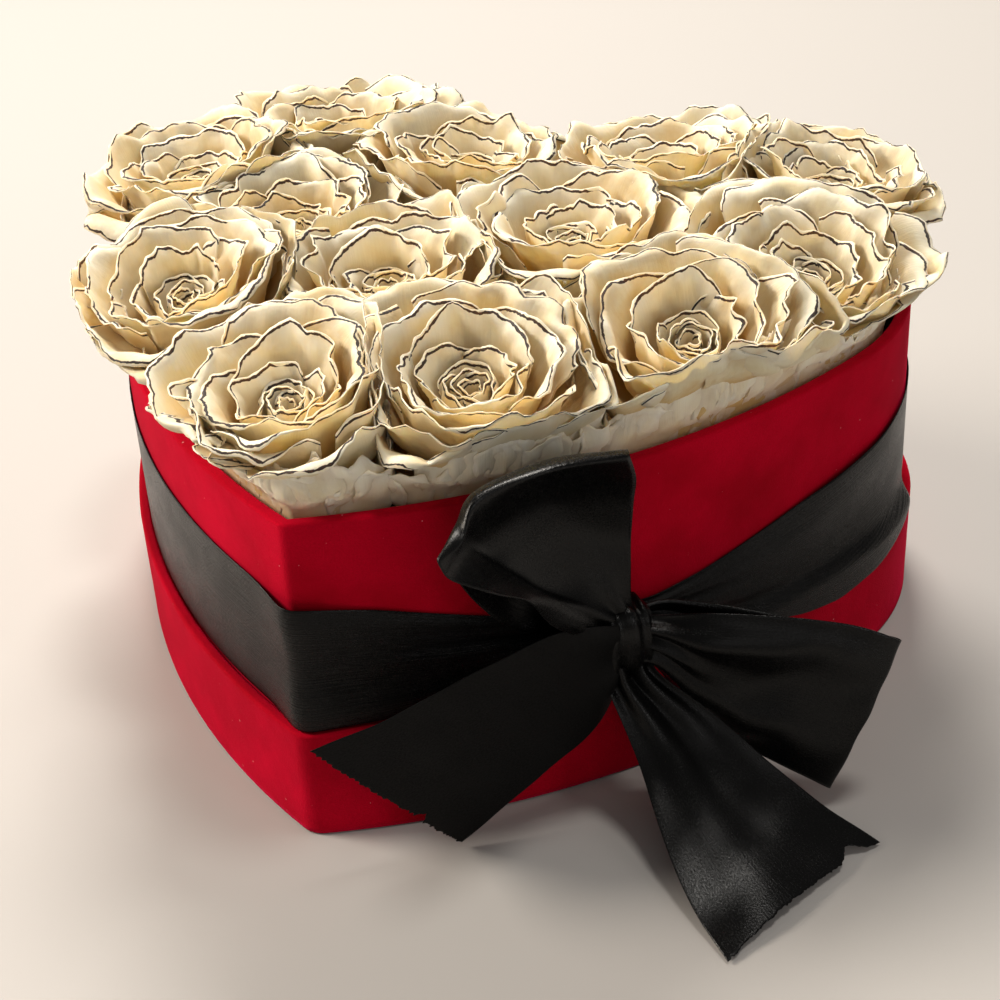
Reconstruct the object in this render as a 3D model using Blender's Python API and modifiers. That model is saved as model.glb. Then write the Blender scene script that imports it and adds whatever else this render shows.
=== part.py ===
"""Heart-shaped velvet flower box with preserved roses, standing in its own upturned lid.

Metres, +Z up. The origin is on the surface the box stands on, on the heart's line of symmetry,
halfway between its tip (towards -Y) and the tops of its lobes (towards +Y).
"""

import math

import bmesh
import bpy
import numpy as np
from mathutils import Matrix, Vector

MM = 0.001

# Driving dimensions
BOX_WIDTH = 0.230
RIM_HEIGHT = 0.092
LID_HEIGHT = 0.032
RIBBON_WIDTH = 0.038
LIFT_CLEARANCE = 0.4 * MM

# The heart: a rounded tip, a long flank, a round lobe and a rounded notch, as arcs of one smooth line.
# A heading is the line's direction, measured from +Y towards +X.
TIP_RADIUS = 0.015 * BOX_WIDTH
FLANK_RADIUS = 0.983 * BOX_WIDTH
LOBE_RADIUS = 0.268 * BOX_WIDTH
NOTCH_RADIUS = 0.040 * BOX_WIDTH
TIP_HEADING = math.radians(63.6)
LOBE_HEADING = math.radians(22.2)
ARC_STEPS = {"tip": 4, "flank": 9, "lobe": 20, "notch": 5}

# Sheet stock
GAP = 0.3 * MM
VELVET = 0.5 * MM
WALL_BOARD = 1.8 * MM
LID_BOARD = 1.4 * MM
PANEL_BOARD = 2.0 * MM
PAPER = 0.4 * MM
TURN_IN_DEPTH = 14 * MM
RIBBON_STOCK = 0.7 * MM

# Inside
FOAM_BELOW_RIM = 26 * MM
LINING_BELOW_RIM = 7 * MM
STEM_RADIUS = 2.2 * MM
STEM_DEPTH_IN_FOAM = 30 * MM
CALYX_RADIUS = 7.5 * MM

# Roses: centre of each bud, in mm from the origin, and its free radius.
ROSES = (
    (-59, -33, 34),
    (-9, -74, 31),
    (29, -54, 33),
    (-11, -13, 32),
    (-50, 12, 31),
    (-92, 33, 32),
    (-67, 75, 32),
    (-20, 61, 33),
    (73, -19, 35),
    (28, 23, 36),
    (91, 22, 32),
    (37, 76, 34),
    (83, 76, 31),
)
# Rings of a rose head from its underside to the dip over its heart: share of the radius, mm above the rim.
ROSE_RINGS = (
    (0.24, -12.5),
    (0.46, -8.0),
    (0.66, -3.0),
    (0.74, 0.8),
    (0.93, 5.0),
    (1.00, 12.0),
    (0.96, 19.0),
    (0.80, 26.0),
    (0.52, 30.0),
    (0.24, 27.0),
)
ROSE_BOTTOM = -13.0 * MM
ROSE_HEART = 22.0 * MM
ROSE_SEGMENTS = 18
ROSE_OVERHANG = 8 * MM
BOW_SIDE_OVERHANG = 2.5 * MM
BOW_SIDE_REACH = 50 * MM

# The bow is tied on the right flank, where the outline has this heading.
BOW_HEADING = math.radians(44.6)
KNOT_HEIGHT = 48 * MM
KNOT_SIZE = (15 * MM, 12 * MM, 20 * MM)

COLOURS = {
    "velvet": ((0.42, 0.004, 0.02), 0.9),
    "greyboard": ((0.34, 0.32, 0.29), 0.9),
    "paper": ((0.03, 0.03, 0.03), 0.8),
    "foam": ((0.12, 0.25, 0.08), 0.95),
    "petals": ((0.82, 0.70, 0.48), 0.6),
    "stem": ((0.12, 0.20, 0.05), 0.7),
    "ribbon": ((0.008, 0.008, 0.009), 0.35),
}


def clear_scene():
    for obj in list(bpy.data.objects):
        bpy.data.objects.remove(obj)


def new_collection(name):
    collection = bpy.data.collections.new(name)
    bpy.context.scene.collection.children.link(collection)
    return collection


def material(name):
    found = bpy.data.materials.get(name)
    if found:
        return found
    colour, roughness = COLOURS[name]
    made = bpy.data.materials.new(name)
    made.use_nodes = True
    shader = made.node_tree.nodes["Principled BSDF"]
    shader.inputs["Base Color"].default_value = (*colour, 1)
    shader.inputs["Roughness"].default_value = roughness
    shader.inputs["Metallic"].default_value = 0.0
    made.diffuse_color = (*colour, 1)
    return made


# ---- the heart outline ----


def heading_normal(heading):
    """Outward normal of the right half of the outline where it has this heading."""
    return np.array([math.cos(heading), -math.sin(heading)])


def notch_heading():
    """Where lobe turns into notch, so that the line comes back to the axis pointing straight down."""
    across = LOBE_RADIUS * math.cos(LOBE_HEADING) - TIP_RADIUS * math.cos(TIP_HEADING)
    across -= FLANK_RADIUS * (math.cos(LOBE_HEADING) - math.cos(TIP_HEADING))
    return -math.acos(across / (LOBE_RADIUS + NOTCH_RADIUS))


def half_outline():
    """Points of the right half from tip to notch, tip at y = 0, each with its heading."""
    turn = notch_heading()
    arcs = (
        ("tip", TIP_RADIUS, math.pi / 2, TIP_HEADING),
        ("flank", FLANK_RADIUS, TIP_HEADING, LOBE_HEADING),
        ("lobe", LOBE_RADIUS, LOBE_HEADING, turn),
        ("notch", -NOTCH_RADIUS, turn, -math.pi / 2),
    )
    start = np.zeros(2)
    points = [(start, math.pi / 2)]
    for name, radius, first, last in arcs:
        centre = start - radius * heading_normal(first)
        for heading in np.linspace(first, last, ARC_STEPS[name] + 1)[1:]:
            points.append((centre + radius * heading_normal(heading), heading))
        start = points[-1][0]
    return points


HALF = half_outline()
DEPTH = max(point[1] for point, _ in HALF)
CENTRE_Y = DEPTH / 2


def heart(offset):
    """The whole outline, counter-clockwise, moved outwards by offset, as an array of x, y."""
    right = np.array([point + offset * heading_normal(h) for point, h in HALF])
    right[:, 1] -= CENTRE_Y
    right[0, 0] = right[-1, 0] = 0.0
    crossed = [i for i in range(len(right) // 2) if right[i, 0] < 0]
    if crossed:  # moved inwards past the tip's own radius, so the two flanks meet in a point
        last = crossed[-1]
        (x0, y0), (x1, y1) = right[last], right[last + 1]
        meeting = [0.0, y0 + (y1 - y0) * -x0 / (x1 - x0)]
        right = np.vstack([meeting, right[last + 1 :]])
    left = right[1:-1][::-1] * (-1, 1)
    return np.vstack([right, left])


def reach_to(outline, centre, direction):
    """How far a ray from centre goes before it leaves the outline."""
    a = outline - centre
    b = np.roll(a, -1, axis=0)
    side_a = a[:, 0] * direction[1] - a[:, 1] * direction[0]
    side_b = b[:, 0] * direction[1] - b[:, 1] * direction[0]
    hits = []
    for i in np.nonzero(side_a * side_b < 0)[0]:
        share = side_a[i] / (side_a[i] - side_b[i])
        along = (a[i] + share * (b[i] - a[i])) @ direction
        if along > 0:
            hits.append(along)
    return min(hits)


def bow_frame():
    """Point on the right flank where the bow sits, the direction along the wall and the one out of it."""
    first, heading = HALF[ARC_STEPS["tip"]]
    centre = first - FLANK_RADIUS * heading_normal(heading)
    normal = heading_normal(BOW_HEADING)
    origin = centre + FLANK_RADIUS * normal - np.array([0.0, CENTRE_Y])
    along = Vector((math.sin(BOW_HEADING), math.cos(BOW_HEADING), 0))
    return Vector((*origin, 0)), along, Vector((*normal, 0))


BOW_ORIGIN, BOW_ALONG, BOW_OUT = bow_frame()


def by_bow(along, out, up):
    """World point from mm along the wall, out of it, and above the table."""
    along, out, up = (float(value) * MM for value in (along, out, up))
    return BOW_ORIGIN + BOW_ALONG * along + BOW_OUT * out + Vector((0, 0, up))


# ---- shape makers ----


def outline_curve(name, outlines, low, high):
    """An upright prism on closed outlines, the later ones holes in the first, from low to high."""
    curve = bpy.data.curves.new(name, "CURVE")
    curve.dimensions = "2D"
    curve.fill_mode = "BOTH"
    curve.extrude = (high - low) / 2
    for outline in outlines:
        spline = curve.splines.new("POLY")
        spline.points.add(len(outline) - 1)
        for point, (x, y) in zip(spline.points, outline):
            point.co = (x, y, 0, 1)
        spline.use_cyclic_u = True
    obj = bpy.data.objects.new(name, curve)
    obj.location.z = (low + high) / 2
    return obj


def as_mesh(obj, collection):
    """The curve object made a mesh object, its loose caps welded."""
    name = obj.name
    bpy.context.scene.collection.objects.link(obj)
    bpy.context.view_layer.update()
    graph = bpy.context.evaluated_depsgraph_get()
    mesh = bpy.data.meshes.new_from_object(obj.evaluated_get(graph))
    work = bmesh.new()
    work.from_mesh(mesh)
    bmesh.ops.remove_doubles(work, verts=work.verts, dist=0.005 * MM)
    bmesh.ops.recalc_face_normals(work, faces=work.faces)
    work.to_mesh(mesh)
    work.free()
    matrix = obj.matrix_world.copy()
    bpy.data.objects.remove(obj)
    made = bpy.data.objects.new(name, mesh)
    made.matrix_world = matrix
    collection.objects.link(made)
    return made


def place(obj, finish, collection, parent):
    """Into its collection and under its parent, with its material, round parts shaded smooth."""
    if not obj.users_collection:
        collection.objects.link(obj)
    obj.data.materials.append(material(finish))
    obj.parent = parent
    if obj.type == "MESH":
        obj.data.shade_smooth()
        obj.data.set_sharp_from_angle(angle=math.radians(40))
    return obj


def cut(obj, cutter):
    cutter.hide_render = True
    cutter.display_type = "WIRE"
    boolean = obj.modifiers.new(f"less_{cutter.name}", "BOOLEAN")
    boolean.operation = "DIFFERENCE"
    boolean.solver = "EXACT"
    boolean.object = cutter


def turned_in_band(name, outside, inside, low, high, parts, cutters):
    """A strip round the heart whose upper edge is folded over the board and down its inner side."""
    band = as_mesh(outline_curve(name, (heart(outside), heart(inside)), low, high), parts)
    channel = (heart(outside - VELVET), heart(inside + VELVET))
    slot = outline_curve(f"{name}_channel", channel, low - 2 * MM, high - VELVET)
    cut(band, as_mesh(slot, cutters))
    short = (heart(outside - 2 * VELVET), heart(inside - 2 * MM))
    below = outline_curve(f"{name}_shortening", short, low - 3 * MM, high - TURN_IN_DEPTH)
    cut(band, as_mesh(below, cutters))
    return band


def smooth_line(points, steps):
    """Points on a smooth curve through the given ones, with steps between each pair."""
    points = np.array(points, float)
    ends = np.vstack([2 * points[0] - points[1], points, 2 * points[-1] - points[-2]])
    found = []
    for i in range(1, len(ends) - 2):
        p0, p1, p2, p3 = ends[i - 1 : i + 3]
        for t in np.arange(steps) / steps:
            bend = (2 * p0 - 5 * p1 + 4 * p2 - p3) * t * t
            found.append(0.5 * (2 * p1 + (p2 - p0) * t + bend + (3 * p1 - p0 - 3 * p2 + p3) * t**3))
    found.append(points[-1])
    return np.array(found)


def ribbon_strip(name, edges, steps=4):
    """A length of ribbon lofted between its two edges, each a list of along, out, up in mm by the bow."""
    left, right = (smooth_line(edge, steps) for edge in zip(*edges))
    work = bmesh.new()
    rows = []
    for a, b in zip(left, right):
        middle = (a + b) / 2
        rows.append([work.verts.new(by_bow(*point)) for point in (a, middle, b)])
    for row, after in zip(rows, rows[1:]):
        for i in range(2):
            work.faces.new((row[i], row[i + 1], after[i + 1], after[i]))
    mesh = bpy.data.meshes.new(name)
    work.to_mesh(mesh)
    work.free()
    obj = bpy.data.objects.new(name, mesh)
    shell = obj.modifiers.new("stock", "SOLIDIFY")
    shell.thickness = RIBBON_STOCK
    shell.offset = 0
    return obj


def turned(name, profile, steps):
    """A closed turned shape from radius and height pairs that run from top to bottom."""
    mesh = bpy.data.meshes.new(name)
    points = [(radius, 0, height) for radius, height in profile]
    mesh.from_pydata(points, [(i, i + 1) for i in range(len(points) - 1)], [])
    obj = bpy.data.objects.new(name, mesh)
    screw = obj.modifiers.new("turn", "SCREW")
    screw.steps = steps
    screw.render_steps = steps
    screw.use_merge_vertices = True
    screw.merge_threshold = 0.00001
    return obj


# ---- the parts ----


def make_lid(parts, cutters, parent):
    board_out = LIFT_CLEARANCE + VELVET + GAP + LID_BOARD + GAP
    outside = board_out + VELVET
    skirt_in = LIFT_CLEARANCE + VELVET + GAP
    panel_low = VELVET + GAP
    panel = outline_curve("lid_velvet_panel", [heart(board_out - GAP)], 0, VELVET)
    place(panel, "velvet", parts, parent)
    board = outline_curve(
        "lid_panel_board", [heart(skirt_in - GAP)], panel_low, panel_low + PANEL_BOARD
    )
    place(board, "greyboard", parts, parent)
    skirt = outline_curve(
        "lid_skirt_board",
        [heart(skirt_in + LID_BOARD), heart(skirt_in)],
        panel_low,
        LID_HEIGHT - VELVET - GAP,
    )
    place(skirt, "greyboard", parts, parent)
    band = turned_in_band(
        "lid_velvet_band", outside, LIFT_CLEARANCE, GAP, LID_HEIGHT, parts, cutters
    )
    place(band, "velvet", parts, parent)
    return panel_low + PANEL_BOARD


def make_box(seat, parts, cutters, parent):
    """The box shell that stands on the lid's panel. It gives the height of its floor and its inner offset."""
    low = seat + GAP
    wall_out = -(VELVET + GAP)
    wall_in = wall_out - WALL_BOARD
    turn_in = wall_in - GAP - VELVET
    base = outline_curve("box_base_paper", [heart(wall_out)], low, low + PAPER)
    place(base, "paper", parts, parent)
    board_low = low + PAPER + GAP
    floor = outline_curve(
        "box_floor_board", [heart(wall_in - GAP)], board_low, board_low + PANEL_BOARD
    )
    place(floor, "greyboard", parts, parent)
    wall = outline_curve(
        "box_wall_board",
        [heart(wall_out), heart(wall_in)],
        board_low,
        RIM_HEIGHT - VELVET - GAP,
    )
    place(wall, "greyboard", parts, parent)
    band = turned_in_band("box_velvet_band", 0, turn_in, low, RIM_HEIGHT, parts, cutters)
    place(band, "velvet", parts, parent)
    inside = board_low + PANEL_BOARD + GAP
    lining_out = turn_in - GAP
    lining = outline_curve(
        "box_lining",
        [heart(lining_out), heart(lining_out - PAPER)],
        inside,
        RIM_HEIGHT - LINING_BELOW_RIM,
    )
    place(lining, "paper", parts, parent)
    return inside, lining_out - PAPER


def make_foam(inside, lining_in, parts, cutters, parent):
    top = RIM_HEIGHT - FOAM_BELOW_RIM
    foam = as_mesh(outline_curve("foam_block", [heart(lining_in - GAP)], inside, top), parts)
    work = bmesh.new()
    for x, y, _ in ROSES:
        middle = top - STEM_DEPTH_IN_FOAM / 2
        bmesh.ops.create_cone(
            work,
            cap_ends=True,
            segments=12,
            radius1=STEM_RADIUS + 2 * GAP,
            radius2=STEM_RADIUS + 2 * GAP,
            depth=STEM_DEPTH_IN_FOAM + 2 * MM,
            matrix=Matrix.Translation((x * MM, y * MM, middle)),
        )
    mesh = bpy.data.meshes.new("stem_holes")
    work.to_mesh(mesh)
    work.free()
    holes = bpy.data.objects.new("stem_holes", mesh)
    cutters.objects.link(holes)
    cut(foam, holes)
    place(foam, "foam", parts, parent)
    return top


def make_stem(number, x, y, foam_top, parts, parent):
    """A cut stem pushed into the foam, with the calyx that carries the head."""
    head = RIM_HEIGHT + ROSE_BOTTOM - GAP
    profile = (
        (0, head),
        (CALYX_RADIUS, head),
        (CALYX_RADIUS, head - 3 * MM),
        (0.6 * CALYX_RADIUS, foam_top + 4 * MM),
        (STEM_RADIUS, foam_top + 1 * MM),
        (STEM_RADIUS, foam_top - STEM_DEPTH_IN_FOAM + 1 * MM),
        (0, foam_top - STEM_DEPTH_IN_FOAM + 1 * MM),
    )
    stem = turned(f"rose_stem_{number:02d}", profile, 12)
    stem.location = (x * MM, y * MM, 0)
    place(stem, "stem", parts, parent)


def free_reach(index, centre, direction):
    """How far this rose may spread before it meets a neighbour, which each meets at its own share."""
    reach = math.inf
    radius = ROSES[index][2]
    for other, (x, y, other_radius) in enumerate(ROSES):
        if other == index:
            continue
        apart = np.array([x, y]) * MM - centre
        distance = np.linalg.norm(apart)
        facing = direction @ apart / distance
        if facing > 0.05:
            share = distance * radius / (radius + other_radius) - GAP
            reach = min(reach, share / facing)
    return reach


def make_rose_head(index, inner, over_rim, parts, parent):
    """A head as a squat ball whose rings follow the rose, kept off its neighbours and inside the rim."""
    x, y, radius = ROSES[index]
    centre = np.array([x, y]) * MM
    work = bmesh.new()
    bmesh.ops.create_uvsphere(
        work, u_segments=ROSE_SEGMENTS, v_segments=len(ROSE_RINGS) + 1, radius=1
    )
    ring_of = {round(z, 4): i for i, z in enumerate(sorted({round(v.co.z, 4) for v in work.verts}))}
    rings = ((0, ROSE_BOTTOM / MM), *ROSE_RINGS, (0, ROSE_HEART / MM))
    for vertex in work.verts:
        share, height = rings[ring_of[round(vertex.co.z, 4)]]
        flat = np.array(vertex.co[:2])
        length = np.linalg.norm(flat)
        direction = flat / length if share else np.array([1.0, 0.0])
        reach = share * radius * MM
        if share:
            reach = min(reach, free_reach(index, centre, direction))
            within = reach_to(inner, centre, direction) if height < 1 else over_rim(centre, direction)
            reach = min(reach, within)
        vertex.co = (*(centre + reach * direction), RIM_HEIGHT + height * MM)
    mesh = bpy.data.meshes.new(f"rose_head_{index + 1:02d}")
    work.to_mesh(mesh)
    work.free()
    place(bpy.data.objects.new(mesh.name, mesh), "petals", parts, parent)


def make_roses(foam_top, lining_in, parts, parent):
    inner = heart(lining_in - 2 * GAP)
    wide = heart(ROSE_OVERHANG)
    narrow = heart(BOW_SIDE_OVERHANG)
    bow = np.array(BOW_ORIGIN[:2])

    def over_rim(centre, direction):
        """Petals hang over the rim, and less where the bow stands against it."""
        reach = reach_to(wide, centre, direction)
        near = np.linalg.norm(centre + reach * direction - bow) < BOW_SIDE_REACH
        return reach_to(narrow, centre, direction) if near else reach

    for index, (x, y, _) in enumerate(ROSES):
        make_rose_head(index, inner, over_rim, parts, parent)
        make_stem(index + 1, x, y, foam_top, parts, parent)


def make_ribbon(parts, parent):
    """The band round the box and the bow tied on it: a knot, two loops and two tails."""
    low = LID_HEIGHT + 2 * GAP
    band = outline_curve(
        "ribbon_band",
        [heart(GAP + RIBBON_STOCK), heart(GAP)],
        low,
        low + RIBBON_WIDTH,
    )
    place(band, "ribbon", parts, parent)

    work = bmesh.new()
    bmesh.ops.create_cube(work, size=1)
    for vertex in work.verts:
        vertex.co = [c * s for c, s in zip(vertex.co, KNOT_SIZE)]
    mesh = bpy.data.meshes.new("bow_knot")
    work.to_mesh(mesh)
    work.free()
    knot = bpy.data.objects.new("bow_knot", mesh)
    bevel = knot.modifiers.new("soft_edges", "BEVEL")
    bevel.width = 3.5 * MM
    bevel.segments = 3
    knot_out = 2 * GAP + RIBBON_STOCK + KNOT_SIZE[1] / 2
    turn = Matrix((BOW_ALONG, BOW_OUT, Vector((0, 0, 1)))).transposed()
    knot.matrix_world = turn.to_4x4()
    knot.location = by_bow(0, knot_out / MM, KNOT_HEIGHT / MM)
    place(knot, "ribbon", parts, parent)

    for name, edges in BOW_PIECES.items():
        place(ribbon_strip(name, edges), "ribbon", parts, parent)


# Each piece of the bow as pairs of edge points, in mm: along the wall, out of it, above the table.
BOW_PIECES = {
    "bow_loop_upper": (
        ((-7, 12, 60), (5, 12, 60)),
        ((-27, 18, 72), (4, 14, 74)),
        ((-43, 25, 88), (3, 15, 90)),
        ((-50, 27, 98), (1, 18, 101)),
        ((-47, 21, 100), (0, 12, 103)),
        ((-39, 10, 90), (2, 7, 97)),
        ((-27, 5.5, 76), (4, 5, 80)),
        ((-7, 4, 60), (5, 4, 60)),
    ),
    "bow_loop_right": (
        ((9, 11, 55), (9, 11, 43)),
        ((28, 18, 54), (24, 22, 28)),
        ((48, 29, 49), (37, 34, 12)),
        ((60, 37, 44), (45, 40, 5)),
        ((63, 34, 42), (48, 36, 2.5)),
        ((60, 29, 42), (45, 31, 3.5)),
        ((46, 20, 46), (36, 22, 12)),
        ((26, 10, 51), (23, 12, 28)),
        ((9, 5, 54), (9, 5, 44)),
    ),
    "ribbon_tail_left": (
        ((-8.5, 13, 57), (-8.5, 13, 40)),
        ((-25, 13, 57), (-20, 13, 30)),
        ((-45, 12, 53), (-33, 12, 16)),
        ((-66, 10, 49), (-45, 10, 4)),
        ((-76, 9, 46), (-58, 9, 20)),
    ),
    "ribbon_tail_right": (
        ((-6, 13, 37), (6, 13, 37)),
        ((-5, 25, 25), (16, 24, 27)),
        ((-6, 42, 14), (27, 38, 15)),
        ((-7, 58, 6), (37, 48, 6)),
        ((-7, 74, 1.2), (45, 56, 1.2)),
    ),
}


def new_empty(name):
    empty = bpy.data.objects.new(name, None)
    bpy.context.scene.collection.objects.link(empty)
    return empty


def main():
    clear_scene()
    parts = new_collection("flower_box")
    cutters = new_collection("cutters")
    cutters.hide_render = True
    lid = new_empty("lid_body")
    box = new_empty("box_body")
    seat = make_lid(parts, cutters, lid)
    inside, lining_in = make_box(seat, parts, cutters, box)
    foam_top = make_foam(inside, lining_in, parts, cutters, box)
    make_roses(foam_top, lining_in, parts, box)
    make_ribbon(parts, box)


main()
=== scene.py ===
"""Looks of the heart-shaped velvet flower box: velvet, satin ribbon and bow, and preserved roses."""

import math

import bpy
import numpy as np
from mathutils import Matrix, Vector


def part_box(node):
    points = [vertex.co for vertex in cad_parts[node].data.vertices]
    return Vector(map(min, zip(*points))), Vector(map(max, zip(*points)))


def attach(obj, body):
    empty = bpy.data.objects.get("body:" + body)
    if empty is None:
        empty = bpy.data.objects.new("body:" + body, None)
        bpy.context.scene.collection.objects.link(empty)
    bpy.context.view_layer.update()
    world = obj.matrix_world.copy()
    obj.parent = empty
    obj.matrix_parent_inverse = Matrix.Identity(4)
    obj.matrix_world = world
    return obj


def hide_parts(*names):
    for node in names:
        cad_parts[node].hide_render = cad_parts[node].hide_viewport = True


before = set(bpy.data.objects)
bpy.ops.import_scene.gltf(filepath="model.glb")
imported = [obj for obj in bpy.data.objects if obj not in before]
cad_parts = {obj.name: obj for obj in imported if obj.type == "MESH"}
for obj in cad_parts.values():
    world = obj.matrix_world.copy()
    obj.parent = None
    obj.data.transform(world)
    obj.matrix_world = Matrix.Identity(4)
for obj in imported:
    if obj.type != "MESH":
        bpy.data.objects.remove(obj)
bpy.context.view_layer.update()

MM = 0.001

# ---- sizes from the frame ----

wall_low, wall_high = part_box("box_velvet_band")
lid_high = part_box("lid_velvet_band")[1]
BOX_DEPTH = wall_high.y - wall_low.y
RIM = wall_high.z / MM
BOX_FOOT = wall_low.z / MM
LID_RIM = lid_high.z / MM
LID_OUT = (lid_high.x - wall_high.x) / MM

# The heart outline: arcs of a tip, a flank, a lobe and a notch, each a share of the box's nominal width.
NOMINAL = 230.0
TIP_RADIUS = 0.015 * NOMINAL
FLANK_RADIUS = 0.983 * NOMINAL
LOBE_RADIUS = 0.268 * NOMINAL
NOTCH_RADIUS = 0.040 * NOMINAL
TIP_HEADING = math.radians(63.6)
LOBE_HEADING = math.radians(22.2)
BOW_HEADING = math.radians(44.6)


def heading_normal(heading):
    return np.stack([np.cos(heading), -np.sin(heading)], axis=-1)


def build_outline(step=1.5):
    """Points in mm and outward normals round the heart, counter-clockwise from the tip."""
    across = LOBE_RADIUS * math.cos(LOBE_HEADING) - TIP_RADIUS * math.cos(TIP_HEADING)
    across -= FLANK_RADIUS * (math.cos(LOBE_HEADING) - math.cos(TIP_HEADING))
    turn = -math.acos(across / (LOBE_RADIUS + NOTCH_RADIUS))
    arcs = (
        (TIP_RADIUS, math.pi / 2, TIP_HEADING, 0.35),
        (FLANK_RADIUS, TIP_HEADING, LOBE_HEADING, step),
        (LOBE_RADIUS, LOBE_HEADING, turn, step),
        (-NOTCH_RADIUS, turn, -math.pi / 2, 0.6 * step),
    )
    start = np.zeros(2)
    points, normals = [start[None]], [heading_normal(np.array([math.pi / 2]))]
    for radius, first, last, pitch in arcs:
        count = max(4, int(abs(radius * (last - first)) / pitch))
        headings = np.linspace(first, last, count + 1)[1:]
        centre = start - radius * heading_normal(first)
        points.append(centre + radius * heading_normal(headings))
        normals.append(heading_normal(headings))
        start = points[-1][-1]
    points, normals = np.concatenate(points), np.concatenate(normals)
    points[:, 1] -= BOX_DEPTH / MM / 2
    points[-1, 0] = 0.0
    mirror = np.array([-1.0, 1.0])
    points = np.concatenate([points, points[1:-1][::-1] * mirror])
    normals = np.concatenate([normals, normals[1:-1][::-1] * mirror])
    return points, normals


OUTLINE, NORMALS = build_outline()
RING = np.concatenate([OUTLINE, OUTLINE[:1]])
RING_NORMALS = np.concatenate([NORMALS, NORMALS[:1]])
STATION = np.concatenate([[0], np.cumsum(np.linalg.norm(np.diff(RING, axis=0), axis=1))])
PERIMETER = STATION[-1]


def on_wall(distance):
    """Point and outward normal of the wall at a distance round the heart from its tip, in mm."""
    d = np.mod(distance, PERIMETER)
    point = np.stack([np.interp(d, STATION, RING[:, i]) for i in (0, 1)], axis=-1)
    normal = np.stack([np.interp(d, STATION, RING_NORMALS[:, i]) for i in (0, 1)], axis=-1)
    return point, normal / np.linalg.norm(normal, axis=-1, keepdims=True)


def bow_place():
    """Distance round the wall, point and normal where the bow sits."""
    flank = np.arctan2(-NORMALS[:, 1], NORMALS[:, 0])
    count = len(OUTLINE) // 2
    i = int(np.argmin(np.abs(flank[:count] - BOW_HEADING)))
    return STATION[i], OUTLINE[i], NORMALS[i]


BOW_STATION, BOW_POINT, BOW_NORMAL = bow_place()
BOW_ALONG = np.array([-BOW_NORMAL[1], BOW_NORMAL[0]])


def by_bow(points):
    """World points in mm from columns of mm along the wall, out of it and above the table."""
    points = np.asarray(points, float)
    flat = BOW_POINT + points[..., :1] * BOW_ALONG + points[..., 1:2] * BOW_NORMAL
    return np.concatenate([flat, points[..., 2:3]], axis=-1)


def reach_to(outline, centre, directions):
    """How far rays from centre go before they leave the outline."""
    a = outline - centre
    b = np.roll(a, -1, axis=0)
    dx, dy = directions[:, :1], directions[:, 1:]
    side_a = a[None, :, 0] * dy - a[None, :, 1] * dx
    side_b = b[None, :, 0] * dy - b[None, :, 1] * dx
    crosses = side_a * side_b < 0
    share = np.where(crosses, side_a / np.where(crosses, side_a - side_b, 1), 0)
    along = (a[None, :, 0] + share * (b - a)[None, :, 0]) * dx
    along += (a[None, :, 1] + share * (b - a)[None, :, 1]) * dy
    return np.where(crosses & (along > 0), along, 1e9).min(axis=1)


# ---- mesh helpers ----


def smoothstep(x, low, high):
    t = np.clip((x - low) / (high - low), 0, 1)
    return t * t * (3 - 2 * t)


def smooth_line(points, count):
    """count points on a smooth curve through the given ones."""
    points = np.array(points, float)
    ends = np.vstack([2 * points[0] - points[1], points, 2 * points[-1] - points[-2]])
    t = np.linspace(0, len(points) - 1, count)
    i = np.minimum(t.astype(int), len(points) - 2)
    f = (t - i)[:, None]
    p0, p1, p2, p3 = (ends[i + k] for k in range(4))
    bend = (2 * p0 - 5 * p1 + 4 * p2 - p3) * f * f
    return 0.5 * (2 * p1 + (p2 - p0) * f + bend + (3 * p1 - p0 - 3 * p2 + p3) * f**3)


def grid_normals(grid):
    du = np.gradient(grid, axis=0)
    dv = np.gradient(grid, axis=1)
    n = np.cross(du, dv)
    return n / np.maximum(np.linalg.norm(n, axis=-1, keepdims=True), 1e-9)


def sheet_mesh(grid, thickness):
    """Vertices and quads of a closed thin sheet on a grid of points."""
    rows, columns = grid.shape[:2]
    shift = grid_normals(grid) * (thickness / 2)
    points = np.concatenate([(grid + shift).reshape(-1, 3), (grid - shift).reshape(-1, 3)])
    index = np.arange(rows * columns).reshape(rows, columns)
    a, b, c, d = index[:-1, :-1], index[1:, :-1], index[1:, 1:], index[:-1, 1:]
    top = np.stack([a, b, c, d], axis=-1).reshape(-1, 4)
    bottom = top[:, ::-1] + rows * columns
    loop = np.concatenate([index[0, :-1], index[:-1, -1], index[-1, :0:-1], index[:0:-1, 0]])
    after = np.roll(loop, -1)
    n = rows * columns
    side = np.stack([loop, after, after + n, loop + n], axis=-1)
    return points, np.concatenate([top, bottom, side])


def ring_mesh(grid):
    """Vertices and quads of a grid that is closed both ways."""
    rows, columns = grid.shape[:2]
    index = np.arange(rows * columns).reshape(rows, columns)
    onward = np.roll(index, -1, axis=0)
    corners = [index, onward, np.roll(onward, -1, axis=1), np.roll(index, -1, axis=1)]
    quads = np.stack(corners, axis=-1)
    return grid.reshape(-1, 3), quads.reshape(-1, 4)


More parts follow.
